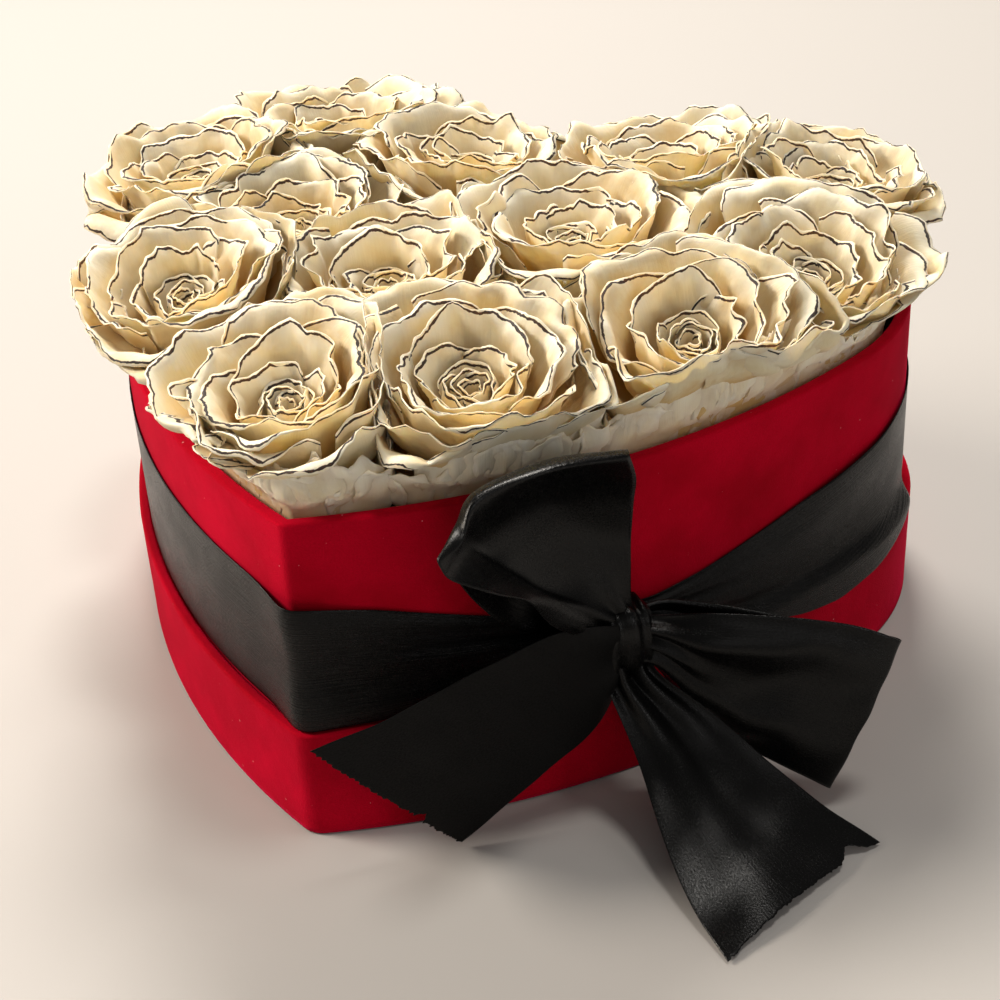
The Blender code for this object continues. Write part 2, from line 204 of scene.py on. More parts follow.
def make_object(name, points, quads, attributes=None):
    """A mesh object from points in mm, with named point attributes."""
    mesh = bpy.data.meshes.new(name)
    mesh.vertices.add(len(points))
    mesh.vertices.foreach_set("co", (np.asarray(points) * MM).astype(np.float32).ravel())
    mesh.loops.add(quads.size)
    mesh.loops.foreach_set("vertex_index", quads.astype(np.int32).ravel())
    mesh.polygons.add(len(quads))
    mesh.polygons.foreach_set("loop_start", np.arange(0, quads.size, 4, dtype=np.int32))
    mesh.polygons.foreach_set("use_smooth", np.full(len(quads), True))
    for key, values in (attributes or {}).items():
        layer = mesh.attributes.new(key, "FLOAT_VECTOR", "POINT")
        layer.data.foreach_set("vector", np.asarray(values, np.float32).ravel())
    mesh.update()
    mesh.validate()
    obj = bpy.data.objects.new(name, mesh)
    bpy.context.scene.collection.objects.link(obj)
    return obj


# ---- materials ----


class Nodes:
    """A short way to write a material's node tree."""

    def __init__(self, name, **inputs):
        self.material = bpy.data.materials.new(name)
        self.material.use_nodes = True
        self.tree = self.material.node_tree
        self.shader = self.tree.nodes["Principled BSDF"]
        for key, value in inputs.items():
            self.shader.inputs[key.replace("_", " ")].default_value = value

    def add(self, kind, settings=None, **inputs):
        node = self.tree.nodes.new(kind)
        for key, value in (settings or {}).items():
            setattr(node, key, value)
        for key, value in inputs.items():
            socket = node.inputs[key.replace("_", " ")]
            self.feed(socket, value)
        return node

    def feed(self, socket, value):
        if isinstance(value, bpy.types.NodeSocket):
            self.tree.links.new(value, socket)
        else:
            socket.default_value = value

    def noise(self, scale, detail=3.0, vector=None, roughness=0.5):
        node = self.add("ShaderNodeTexNoise", Scale=scale, Detail=detail, Roughness=roughness)
        if vector is not None:
            self.tree.links.new(vector, node.inputs["Vector"])
        return node.outputs["Fac"]

    def math(self, operation, a, b=0.0):
        node = self.tree.nodes.new("ShaderNodeMath")
        node.operation = operation
        self.feed(node.inputs[0], a)
        self.feed(node.inputs[1], b)
        return node.outputs[0]

    def ramp(self, value, low, high, to_low=0.0, to_high=1.0):
        node = self.add("ShaderNodeMapRange", {"interpolation_type": "SMOOTHSTEP"})
        node.inputs["From Min"].default_value = low
        node.inputs["From Max"].default_value = high
        node.inputs["To Min"].default_value = to_low
        node.inputs["To Max"].default_value = to_high
        self.tree.links.new(value, node.inputs["Value"])
        return node.outputs["Result"]

    def mix(self, factor, a, b):
        node = self.tree.nodes.new("ShaderNodeMix")
        node.data_type = "RGBA"
        self.feed(node.inputs["Factor"], factor)
        self.feed(node.inputs["A"], a if isinstance(a, bpy.types.NodeSocket) else (*a, 1))
        self.feed(node.inputs["B"], b if isinstance(b, bpy.types.NodeSocket) else (*b, 1))
        return node.outputs["Result"]

    def bump(self, height, strength, distance):
        node = self.add("ShaderNodeBump", Strength=strength, Distance=distance)
        self.tree.links.new(height, node.inputs["Height"])
        before = self.shader.inputs["Normal"].links
        if before:
            self.tree.links.new(before[0].from_socket, node.inputs["Normal"])
        self.tree.links.new(node.outputs["Normal"], self.shader.inputs["Normal"])

    def set(self, key, value):
        self.feed(self.shader.inputs[key], value)

    def place(self):
        return self.add("ShaderNodeTexCoord").outputs["Object"]

    def attribute(self, name):
        return self.add("ShaderNodeAttribute", {"attribute_name": name})

    def stretched(self, vector, scale):
        node = self.add("ShaderNodeMapping")
        self.tree.links.new(vector, node.inputs["Vector"])
        node.inputs["Scale"].default_value = scale
        return node.outputs["Vector"]


def velvet_material(name, light, dark):
    n = Nodes(
        name, Roughness=0.9, Sheen_Weight=0.45, Sheen_Roughness=0.4,
        Sheen_Tint=(1.0, 0.015, 0.11, 1), Specular_IOR_Level=0.05,
    )
    place = n.place()
    patches = n.noise(38, 4, place)
    nap = n.noise(2600, 2, place)
    colour = n.mix(n.ramp(patches, 0.35, 0.68), dark, light)
    colour = n.mix(n.ramp(nap, 0.30, 0.75, 0.0, 0.45), colour, dark)
    lint = n.noise(900, 1, place)
    colour = n.mix(n.ramp(lint, 0.80, 0.83, 0.0, 0.7), colour, (0.75, 0.45, 0.45))
    n.set("Base Color", colour)
    n.bump(nap, 0.5, 0.0003)
    n.bump(n.noise(300, 3, place), 0.25, 0.0005)
    return n.material


# Darkest and lightest black of the satin.
SATIN_BLACKS = ((0.0008, 0.0008, 0.0008), (0.0032, 0.0030, 0.0029))
# Colours of petals with a pen line, and of the guard petals under them: the rim's painted highlight, the
# face, and the amber painted shade of the depth.
LINED_PETAL = ((0.90, 0.81, 0.61), (0.81, 0.67, 0.42), (0.66, 0.39, 0.12))
GUARD_PETAL = ((0.94, 0.84, 0.65), (0.87, 0.73, 0.51), (0.68, 0.46, 0.22))
PEN_INK = (0.026, 0.020, 0.019)


def satin_material(name, roughness, sparkle, gloss, thread_depth=0.00009):
    """Black satin: fine grain and crosswise threads, laid by each piece's "weave" attribute in mm."""
    n = Nodes(name, Roughness=roughness, Specular_IOR_Level=gloss, Anisotropic=0.2)
    weave = n.attribute("weave").outputs["Vector"]
    grain = n.noise(1.0, 3, n.stretched(weave, (1.7, 2.9, 1)), 0.65)
    thread = n.noise(1.0, 2, n.stretched(weave, (0.06, 2.2, 1)))
    blotch = n.noise(0.09, 3, weave)
    n.set("Base Color", n.mix(n.ramp(grain, 0.35, 0.75), *SATIN_BLACKS))
    rough = n.ramp(grain, 0.3, 0.72, roughness + 0.16, roughness - 0.10)
    n.set("Roughness", n.math("ADD", rough, n.ramp(blotch, 0.3, 0.7, -0.04, 0.06)))
    n.bump(grain, 0.8 * sparkle, 0.00009)
    n.bump(thread, 0.6 * sparkle, thread_depth)
    return n.material


def petal_material(name, colours, lined):
    """Cream petals with painted light: paler towards the rim as painted highlight, amber low in the folds and
    on the outer side as painted shade, with a dark pen line inside the rim where lined.

    The "petal" attribute gives the distance below the rim and along it in mm, and the amount of painted
    shade."""
    n = Nodes(
        name, Roughness=0.62, Specular_IOR_Level=0.25, Subsurface_Weight=0.25,
        Subsurface_Scale=0.004, Sheen_Weight=0.1,
    )
    n.shader.inputs["Subsurface Radius"].default_value = (1.0, 0.55, 0.25)
    petal_data = n.attribute("petal").outputs["Vector"]
    split = n.add("ShaderNodeSeparateXYZ", Vector=petal_data)
    rim, painted_shade = split.outputs["X"], split.outputs["Z"]
    place = n.place()
    veins = n.noise(1.0, 3, n.stretched(petal_data, (0.12, 1.6, 3.1)))
    blotch = n.noise(120, 4, place)
    pale, cream, amber = colours
    # Painted highlight: the petal turns paler towards its rim.
    colour = n.mix(n.ramp(rim, 0.6, 8.0), pale, cream)
    # Painted shade: amber where the attribute's shade is high, varied in random blotches.
    depth = n.math("ADD", painted_shade, n.ramp(blotch, 0.3, 0.7, -0.18, 0.18))
    colour = n.mix(n.ramp(depth, 0.15, 0.95, 0.0, 0.92), colour, amber)
    colour = n.mix(n.ramp(veins, 0.35, 0.75, 0.0, 0.07), colour, amber)
    if lined:
        wander = n.noise(1.0, 2, n.stretched(petal_data, (0.0, 0.28, 2.3)))
        fine = n.noise(1.0, 2, n.stretched(petal_data, (0.0, 0.9, 5.1)))
        middle = n.ramp(wander, 0.25, 0.75, 0.50, 1.15)
        off = n.math("ABSOLUTE", n.math("SUBTRACT", rim, middle))
        width = n.ramp(fine, 0.25, 0.75, 0.28, 0.50)
        breaks = n.noise(1.0, 1, n.stretched(petal_data, (0.0, 0.11, 7.7)))
        width = n.math("MULTIPLY", width, n.ramp(breaks, 0.30, 0.40))
        ink = n.ramp(n.math("SUBTRACT", width, off), -0.03, 0.10)
        colour = n.mix(ink, colour, PEN_INK)
    n.set("Base Color", colour)
    n.bump(veins, 0.16, 0.0006)
    n.bump(n.noise(700, 3, place), 0.2, 0.0003)
    return n.material


def board_material(name, colour, grain_scale, roughness=0.9):
    n = Nodes(name, Roughness=roughness, Specular_IOR_Level=0.2)
    place = n.place()
    fibre = n.noise(grain_scale, 5, place, 0.7)
    speck = n.noise(grain_scale * 5, 1, place)
    lighter = tuple(min(1.0, c * 1.35) for c in colour)
    darker = tuple(c * 0.7 for c in colour)
    mottled = n.mix(fibre, darker, lighter)
    n.set("Base Color", n.mix(n.ramp(speck, 0.62, 0.7, 0.0, 0.5), mottled, darker))
    n.bump(fibre, 0.3, 0.0004)
    return n.material


def use(obj, material):
    obj.data.materials.clear()
    obj.data.materials.append(material)


# ---- velvet covers ----

VELVET_THICK = 0.42
FOLD_RADIUS = 0.95
TURN_IN = 14
UNEVEN = 0.13


def rounded_corner(centre, radius, first, last, count=6):
    angles = np.radians(np.linspace(first, last, count))
    return [(centre[0] + radius * math.cos(a), centre[1] + radius * math.sin(a)) for a in angles]


def cover_profile(outside, inside, low, high, turn_in):
    """Closed cross-section of cloth that goes up a wall, over its edge and down inside: offset, height."""
    outer_centre = (outside - FOLD_RADIUS, high - FOLD_RADIUS)
    inner_centre = (inside + FOLD_RADIUS, high - FOLD_RADIUS)
    rises = list(np.linspace(low, high - FOLD_RADIUS, 22)[:-1])
    outer = [(outside, z) for z in rises]
    outer += rounded_corner(outer_centre, FOLD_RADIUS, 0, 90)
    outer += rounded_corner(inner_centre, FOLD_RADIUS, 90, 180)
    outer += [(inside, high - turn_in * s) for s in (0.4, 0.7, 1.0)]
    small = FOLD_RADIUS - VELVET_THICK
    back = [(inside + VELVET_THICK, high - turn_in * s) for s in (1.0, 0.7, 0.4)]
    back += rounded_corner(inner_centre, small, 180, 90, 3)
    back += rounded_corner(outer_centre, small, 90, 0, 3)
    back += [(outside - VELVET_THICK, z) for z in rises[::-1]]
    return np.array(outer + back)


def swell(distance, height, seed):
    """Slow soft unevenness of cloth over board, in mm."""
    rng = np.random.default_rng(seed)
    total = np.zeros(np.broadcast(distance, height).shape)
    for waves, rise in ((3, 0.02), (7, 0.035), (13, 0.05), (22, 0.09)):
        a, b = rng.uniform(0, 2 * math.pi, 2)
        turn = 2 * math.pi * waves / PERIMETER
        total += np.sin(turn * distance + a) * np.sin(rise * height + b) / 4
    return total


def make_cover(name, outside, inside, low, high, finish, node, body, seed):
    """Velvet glued round a wall, from low to high outside and turned in over the edge."""
    profile = cover_profile(outside, inside, low, high, TURN_IN)
    offset, height = profile[:, 0][None, :], profile[:, 1][None, :]
    soft = UNEVEN * swell(STATION[:-1][:, None], height, seed)
    fade = (offset > outside - 1e-6) * smoothstep(height, low, low + 3)
    offset = offset + soft * fade
    flat = OUTLINE[:, None, :] + NORMALS[:, None, :] * offset[..., None]
    rise = np.broadcast_to(height, flat.shape[:2])[..., None]
    points, quads = ring_mesh(np.concatenate([flat, rise], axis=-1))
    cover = make_object(name, points, quads)
    use(cover, finish)
    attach(cover, body)
    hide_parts(node)


# ---- ribbon ----

RIBBON_WIDTH = 38.0
RIBBON_THICK = 0.22
# The band is shaped from BAND_BACK before the bow to BAND_AHEAD past it, and runs level round the rest.
BAND_BACK = 95
BAND_AHEAD = 155
# Top and bottom edge of the band by the distance round the wall from the bow, in mm.
BAND_TOP = (
    (-95, 70.5), (-76, 69.5), (-57, 66), (-41, 61.5), (-22, 56), (-8, 53), (0, 52), (8, 51.5), (13, 51),
    (28, 53), (47, 57), (61, 60), (75, 62), (92, 64.5), (108, 67), (130, 69.5), (155, 70.5),
)
BAND_LOW = (
    (-95, 32.7), (-76, 32.7), (-57, 33), (-41, 35), (-22, 39), (-8, 42), (0, 43), (8, 42.5), (13, 41.5),
    (28, 37), (47, 30.5), (61, 26), (75, 23.5), (92, 25), (108, 29), (125, 32.7), (155, 32.7),
)


def band_lift(away, near, across, height, low):
    """How far the band stands off the wall at each point, in mm."""
    wave = 2 * math.pi
    lift = np.full_like(height, 0.45)
    folds = np.sin(wave * (2.6 * across + 0.15 + 0.004 * near))
    folds += 0.5 * np.sin(wave * (5.3 * across - 0.01 * near))
    gather = np.exp(-np.abs(near) / 26.0) * smoothstep(np.abs(near), 1, 9)
    lift += (1.5 + 1.1 * folds) * gather
    left_ripple = 0.45 * np.exp(-(((near + 66) / 16.0) ** 2))
    lift += left_ripple * (1 + np.sin(wave * (1.3 * across + 0.2)))
    slack = np.exp(-(((near - 62) / 34.0) ** 2)) * (near > 0)
    lift += slack * (0.9 + 0.8 * np.sin(wave * (1.15 * across - 0.009 * near)))
    from_tip = (BOW_STATION + away + PERIMETER / 2) % PERIMETER - PERIMETER / 2
    lift += 1.5 * np.exp(-((from_tip / 9.0) ** 2)) * (1 + 0.15 * np.sin(9 * across))
    lift = np.maximum(lift, 0.42)
    droop = smoothstep(low, LID_RIM + 0.6, LID_RIM - 1.5)
    over_lid = droop * (1 - smoothstep(height, LID_RIM, LID_RIM + 5))
    return lift + over_lid * np.maximum(LID_OUT + 0.5 - lift, 0)


def make_band(finish):
    """The ribbon round the wall, gathered into the knot and drooping over the lid's edge right of it."""
    plain = np.linspace(BAND_AHEAD, PERIMETER - BAND_BACK, 260, endpoint=False)
    shaped = np.arange(PERIMETER - BAND_BACK, PERIMETER, 0.8)
    away = np.concatenate([np.arange(0, BAND_AHEAD, 0.8), plain, shaped])
    near = np.where(away > PERIMETER / 2 + 30, away - PERIMETER, away)
    kernel = np.hanning(15) / np.hanning(15).sum()
    top, low = (
        np.convolve(np.pad(np.interp(near, *np.array(edge).T), 7, mode="wrap"), kernel, "valid")[:, None]
        for edge in (BAND_TOP, BAND_LOW)
    )
    point, normal = on_wall(BOW_STATION + away)
    away, near, across = away[:, None], near[:, None], np.linspace(0, 1, 45)[None, :]
    height = low + (top - low) * across
    lift = band_lift(away, near, across, height, low)
    flat = point[:, None] + normal[:, None] * lift[..., None]
    grid = np.concatenate([flat, height[..., None]], axis=-1)
    wrapped = np.concatenate([grid[-2:], grid, grid[:2]])
    shift = grid_normals(wrapped)[2:-2] * (RIBBON_THICK / 2)
    both_sides = np.concatenate([grid + shift, (grid - shift)[:, ::-1]], axis=1)
    weave = np.stack(np.broadcast_arrays(away, across * RIBBON_WIDTH, 0.0), axis=-1)
    weave = np.concatenate([weave, weave[:, ::-1]], axis=1)
    band = make_object("ribbon_round_box", *ring_mesh(both_sides), {"weave": weave})
    dress_ribbon(band, finish, "ribbon_band")


def dress_ribbon(obj, finish, node):
    use(obj, finish)
    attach(obj, "box")
    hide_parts(node)


def across_and_along(sections, rows, columns):
    """A smooth grid through sections, each a list of points from one edge of the ribbon to the other."""
    spread = np.array([smooth_line(section, columns) for section in sections])
    grid = np.array([smooth_line(spread[:, k], rows) for k in range(columns)])
    return grid.transpose(1, 0, 2)


def ribbon_piece(name, node, sections, finish, folds, columns, rows, seed, end_cut=None):
    """A length of ribbon through sections placed by the bow, with folds that fade away from the knot.

    Each fold is its waves across, phase, height, fading length, and whether it is at both ends."""
    grid = across_and_along(sections, rows, columns)
    across = np.linspace(0, 1, columns)
    middle = grid[:, columns // 2]
    run = np.concatenate([[0], np.cumsum(np.linalg.norm(np.diff(middle, axis=0), axis=1))])
    length = run[-1]
    if end_cut is None:
        run_grid = np.broadcast_to(run[:, None], grid.shape[:2])
    else:
        run_grid = run[:, None] * end_cut(across)[None, :]
        taken = [
            [np.interp(run_grid[:, k], run, grid[:, k, i]) for k in range(columns)] for i in range(3)
        ]
        grid = np.array(taken).transpose(2, 1, 0)
    grid = by_bow(grid)
    rise = np.zeros(grid.shape[:2])
    for count, phase, size, fade, both_ends in folds:
        strength = np.exp(-run_grid / fade)
        if both_ends:
            strength = strength + np.exp(-(length - run_grid) / fade)
        rise += size * strength * np.sin(2 * math.pi * (count * across[None, :] + phase))
    rng = np.random.default_rng(seed)
    a, b, c = rng.uniform(0, 6.28, 3)
    rise += 0.20 * np.sin(run_grid / 7.1 + a) * np.sin(across[None, :] * 5.2 + b)
    rise += 0.09 * np.sin(run_grid / 2.7 + c + across[None, :] * 9)
    grid = grid + grid_normals(grid) * rise[..., None]
    points, quads = sheet_mesh(grid, RIBBON_THICK)
    weave = np.stack(np.broadcast_arrays(run_grid, across[None, :] * RIBBON_WIDTH, 0.0), axis=-1)
    weave = weave.reshape(-1, 3)
    piece = make_object(name, points, quads, {"weave": np.concatenate([weave, weave])})
    dress_ribbon(piece, finish, node)


# Half sizes of the knot, and where its middle is: out from the wall and above the table, in mm.
KNOT_WIDE = 8.2
KNOT_DEEP = 6.6
KNOT_TALL = 10.8
KNOT_OUT = 8.0
KNOT_HEIGHT = 47.5


def make_knot(finish):
    """The short wrap of gathered ribbon that holds the bow: a squarish drum with pleats and closed ends."""
    turns = np.linspace(0, 2 * math.pi, 72, endpoint=False)
    sides = np.linspace(-math.pi / 2, math.pi / 2, 40)[1:-1]
    a, s = np.meshgrid(turns, sides, indexing="ij")
    pleats = 1 + 0.085 * np.sin(11 * s + 0.6 * np.sin(a)) * np.cos(s) ** 0.5
    pleats += 0.05 * np.sin(3 * a + 2 * s) * np.cos(s)
    squared = (np.abs(np.cos(a)) ** 2.6 + np.abs(np.sin(a)) ** 2.6) ** (-1 / 2.6)
    ring = np.cos(s) ** 0.42 * squared * pleats
    along = KNOT_WIDE * np.sign(np.sin(s)) * np.abs(np.sin(s)) ** 0.8
    out = KNOT_OUT + KNOT_DEEP * np.cos(a) * ring
    up = KNOT_HEIGHT + KNOT_TALL * np.sin(a) * ring
    grid = by_bow(np.stack([along, out, up], axis=-1))
    rows, columns = grid.shape[:2]
    index = np.arange(rows * columns).reshape(rows, columns)
    after = np.roll(index, -1, axis=0)
    quads = np.stack([index[:, :-1], index[:, 1:], after[:, 1:], after[:, :-1]], axis=-1)
    centre = np.full(rows, rows * columns)
    left_cap = np.stack([index[:, 0], after[:, 0], centre], axis=-1)
    right_cap = np.stack([centre + 1, after[:, -1], index[:, -1]], axis=-1)
    faces = [*quads.reshape(-1, 4).tolist(), *left_cap.tolist(), *right_cap.tolist()]
    points = [*grid.reshape(-1, 3), grid[:, 0].mean(axis=0), grid[:, -1].mean(axis=0)]
    mesh = bpy.data.meshes.new("bow_tie")
    mesh.from_pydata((np.array(points) * MM).tolist(), [], faces)
    mesh.shade_smooth()
    weave = np.stack([a * 9, s * 16, 0 * s], axis=-1).reshape(-1, 3)
    weave = np.concatenate([weave, np.zeros((2, 3))])
    layer = mesh.attributes.new("weave", "FLOAT_VECTOR", "POINT")
    layer.data.foreach_set("vector", weave.astype(np.float32).ravel())
    knot = bpy.data.objects.new("bow_tie", mesh)
    bpy.context.scene.collection.objects.link(knot)
    dress_ribbon(knot, finish, "bow_knot")


def frayed(cut, seed, size):
    """A cut end with small threads, as a share of the length at each point across."""
    rng = np.random.default_rng(seed)
    jags = rng.uniform(-1, 1, 400)

    def share(across):
        fine = jags[(np.asarray(across) * 399).astype(int)]
        return cut(across) + size * fine

    return share


# Sections along each piece of the bow, each from one edge of the ribbon to the other. A point is mm along
# the wall from the bow, out from the wall, and above the table.
TAIL_LEFT = (
    ((-3, 13.5, 56), (-3, 14, 46), (-3, 12.5, 36)),
    ((-11, 15, 59.5), (-9, 15.5, 44), (-7, 13, 29)),
    ((-21, 14.5, 60), (-17, 14.5, 42), (-12, 12.5, 23.5)),
    ((-36, 13, 55.5), (-29, 12.5, 36), (-22, 11.5, 16.5)),
    ((-50, 12, 51.5), (-42, 11.5, 30), (-34, 11, 9)),
    ((-65, 11.5, 47.5), (-56, 11, 24), (-47, 10.5, 1)),
    ((-82, 11, 45), (-72, 11, 18.5), (-62, 10, -8)),
)
TAIL_RIGHT = (
    ((-6, 10, 41), (0, 12, 42), (7, 10, 42)),
    ((-5, 14, 34), (1, 15.5, 37), (8.5, 14, 37)),
    ((-4, 26, 21.5), (7, 25.5, 26), (18, 24, 28)),
    ((-6, 42, 11.5), (11, 39.5, 15.5), (28, 36.5, 17)),
    ((-7, 58, 4.0), (15, 53, 8.5), (37, 47, 7.8)),
    ((-6.5, 75, 0.5), (20, 66.5, 2.6), (46.5, 57, 0.7)),
)
LOOP_RIGHT = (
    ((4, 10.5, 55), (4, 12, 51), (4, 12, 48), (4, 12, 44), (4, 10.5, 40)),
    ((9, 13, 54.5), (9, 16, 50), (9, 16, 46), (8.5, 15, 42), (8, 12, 37)),
    ((19, 19.5, 56), (17.5, 24, 48), (16.5, 22, 41), (15, 22, 35), (14, 15, 27.5)),
    ((34, 27.5, 55), (31, 30, 46), (27, 26, 37), (24, 28, 28), (20, 21.5, 19)),
    ((47, 33.5, 52.5), (42.5, 34, 45), (37.5, 31, 35), (33, 33, 25), (27, 29, 16)),
    ((56, 37, 49), (51, 37.5, 40), (46, 36.5, 30.5), (41, 37, 20.5), (36, 35.5, 10.5)),
    ((61.5, 38.5, 45.5), (57, 39.5, 36.5), (52.5, 40.3, 27.5), (48, 40, 17.5), (43, 38.5, 5.5)),
    ((61, 35.5, 45), (56.5, 36.5, 36), (52, 37, 27), (47.5, 36.5, 17), (42.5, 35.5, 6)),
    ((51, 27, 45.5), (47, 29, 37), (43, 30, 29), (39, 30, 20), (35, 29, 11)),
    ((32, 15, 50), (30, 17, 43), (28, 18, 37), (27, 18, 31), (25, 17, 25)),
    ((15, 7.5, 54), (15, 9, 50), (15, 10, 46), (14, 10, 42), (13, 9, 37)),
    ((5, 6, 54), (5, 7, 51), (5, 7, 48), (5, 7, 45), (5, 6, 42)),
)
LOOP_UPPER = (
    ((-8, 12, 52), (-6, 13, 55), (-3, 12, 57), (0, 11, 57), (3, 10, 55)),
    ((-22, 19, 65.5), (-16, 16, 66.5), (-10, 12, 63.5), (-5, 9, 66), (2.5, 10, 64)),
    ((-31, 25, 80), (-27, 19, 78.5), (-22, 13, 73.5), (-10, 7, 77), (3.5, 8.5, 75.5)),
    ((-41, 29, 88), (-36, 21, 87), (-30, 14, 83.5), (-15, 7.5, 88.5), (3.5, 10, 86.5)),
    ((-51.5, 31, 96.5), (-44, 22, 96), (-36, 15, 91.5), (-18.5, 11, 98), (2.5, 13.5, 96.5)),
    ((-54, 31, 102), (-45.5, 24, 100.5), (-39, 19, 106), (-22, 19, 108.5), (-1, 17.5, 105.5)),
    ((-51, 26, 99), (-44, 17, 100), (-36, 10.5, 102.5), (-18, 10.5, 105.5), (1.5, 10.5, 102.5)),
    ((-42, 15, 80), (-37, 9, 87), (-29, 6.5, 91), (-15, 6, 93), (2, 7, 91)),
    ((-30, 9, 62), (-27, 6, 72), (-20, 5.2, 77), (-10, 5.2, 78), (2, 6, 76)),
    ((-18, 8, 55), (-15, 6, 61), (-11, 5.2, 63), (-6, 5.2, 64), (2, 6, 63)),
    ((-7, 7, 53), (-5, 6.5, 55), (-3, 6, 56), (0, 6, 56), (3, 6, 55)),
)


def left_cut(v):
    """The left tail's slanting cut with one nick in it, as a share of its length."""
    return np.interp(v, (0, 0.3, 0.64, 0.68, 0.72, 1.0), (1.0, 0.925, 0.84, 0.805, 0.83, 0.765))


def right_cut(v):
    """The right tail's nearly straight cut with one nick in it, as a share of its length."""
    return 1 - 0.02 * np.sin(math.pi * v) - 0.05 * np.exp(-(((v - 0.86) / 0.06) ** 2))


def make_bow(satin, matte):
    make_knot(satin)
    ribbon_piece(
        "tail_left", "ribbon_tail_left", TAIL_LEFT, matte, ((1.5, 0.1, 0.7, 14, False),),
        columns=101, rows=120, seed=3, end_cut=frayed(left_cut, 5, 0.005),
    )
    ribbon_piece(
        "tail_right", "ribbon_tail_right", TAIL_RIGHT, satin,
        ((2.6, 0.3, 1.8, 22, False), (1.1, 0.0, 1.6, 60, False)),
        columns=101, rows=140, seed=4, end_cut=frayed(right_cut, 9, 0.004),
    )
    ribbon_piece(
        "loop_right", "bow_loop_right", LOOP_RIGHT, satin, ((3.2, 0.1, 1.3, 22, True),),
        columns=57, rows=210, seed=5,
    )
    ribbon_piece(
        "loop_upper", "bow_loop_upper", LOOP_UPPER, satin, ((3.0, 0.4, 0.7, 14, True),),
        columns=57, rows=210, seed=6,
    )


# ---- roses ----

# Each rose's place on the heart and its radius, in mm.
ROSES = (
    (-59, -33, 34), (-9, -74, 31), (29, -54, 33), (-11, -13, 32), (-50, 12, 31), (-92, 33, 32), (-67, 75, 32),
    (-20, 61, 33), (73, -19, 35), (28, 23, 36), (91, 22, 32), (37, 76, 34), (83, 76, 31),
)
PETAL_THICK = 0.28
# The top of a rose above the box's rim, which heights level off towards.
MOST_RISE = 32.0
# Inside the wall, where petals come up past the rim.
WALL_INSET = 5.2
# How far out from WALL_INSET petals stand just above the rim.
GUARD_OVERHANG = 5.5
PETAL_OVERHANG = 3.0
# How far past the wall the highest petals reach, and less than that near the bow.
OVERHANG = 12.0
BOW_SIDE_OVERHANG = 3.5
BOW_SIDE_REACH = 50.0
# Depth of the dents in the petals.
GUARD_CRUMPLE = 1.1
PETAL_CRUMPLE = 0.5
# Petals of each rose: the coiled heart, the open rings and the guards under them. Each heart or ring petal is
# a golden angle on from the last.
HEART_PETALS = 7
RING_PETALS = 15
GUARD_PETALS = 13
GOLDEN = math.radians(137.5)


def reach_tables(index):
    """A ring of directions, and how far a rose may spread in each: among others, in the rim and over it."""
    x, y, radius = ROSES[index]
    centre = np.array([x, y], float)
    angles = np.linspace(-math.pi, math.pi, 361)
    directions = np.stack([np.cos(angles), np.sin(angles)], axis=-1)
    beside = np.full(361, 1e9)
    for other, (ox, oy, other_radius) in enumerate(ROSES):
        if other == index:
            continue
        apart = np.array([ox, oy]) - centre
        distance = np.linalg.norm(apart)
        facing = directions @ apart / distance
        share = distance * radius / (radius + other_radius) + 2.5
        towards = np.minimum(beside, share / np.maximum(facing, 0.05))
        beside = np.where(facing > 0.05, towards, beside)
    inside = reach_to(OUTLINE - WALL_INSET * NORMALS, centre, directions)
    over = reach_to(OUTLINE + OVERHANG * NORMALS, centre, directions)
    narrow = reach_to(OUTLINE + BOW_SIDE_OVERHANG * NORMALS, centre, directions)
    tips = centre + directions * over[:, None]
    near_bow = smoothstep(np.linalg.norm(tips - BOW_POINT, axis=1), BOW_SIDE_REACH, BOW_SIDE_REACH - 15)
    over = over + (narrow - over) * near_bow
    return angles, beside, inside, over


def squeeze(points, tables, snug):
    """Moves petals in the rose's own frame so that they stay off neighbours and the wall; they rise instead.

    Snug ones don't spread over the wall."""
    angles, beside, inside, over = tables
    flat = np.hypot(points[..., 0], points[..., 1])
    turn = np.arctan2(points[..., 1], points[..., 0])
    beside, inside, over = (np.interp(turn, angles, t) for t in (beside, inside, over))
    standing = GUARD_OVERHANG if snug else PETAL_OVERHANG
    limit = inside + standing * smoothstep(points[..., 2], 0.6, 5.5)
    if not snug:
        limit = limit + np.maximum(over - inside - standing, 0) * smoothstep(points[..., 2], 7, 18)
    limit = np.minimum(beside, limit)
    start = 0.80 * limit
    room = limit - start
    pressed = start + room * np.tanh((flat - start) / room)
    new = np.where(flat > start, pressed, flat)
    points = points.copy()
    scale = new / np.maximum(flat, 1e-6)
    points[..., 0] *= scale
    points[..., 1] *= scale
    points[..., 2] += 0.30 * (flat - new) * smoothstep(points[..., 2], 2, 8)
    excess = np.maximum(points[..., 2] - MOST_RISE + 4, 0)
    points[..., 2] += 4 * np.tanh(excess / 4) - excess
    return points


def crumpled(points, rng, most):
    """Paper-like dents towards the rose's axis, up to about three times most deep, above the box's rim."""
    x, y, z = (points[..., i] for i in range(3))
    a, b, c, d = rng.uniform(0, 2 * math.pi, 4)
    dent = np.abs(np.sin(0.33 * x + 0.21 * z + a) + np.sin(0.37 * y - 0.26 * z + b))
    dent += 0.6 * np.abs(np.sin(0.71 * x - 0.52 * y + c) + np.sin(0.62 * z + 0.4 * y + d))
    depth = most * dent * smoothstep(z, -1, 4)
    scale = 1 - depth / np.maximum(np.hypot(x, y), 8)
    return np.stack([x * scale, y * scale, z], axis=-1)


def waves(rng, x, count, size, first=1):
    """Smooth random ripple along x."""
    total = np.zeros_like(x)
    for k in range(first, first + count):
        total += rng.normal() / math.sqrt(k) * np.sin(k * math.pi * x + rng.uniform(0, 6.28))
    return size * total / math.sqrt(count)


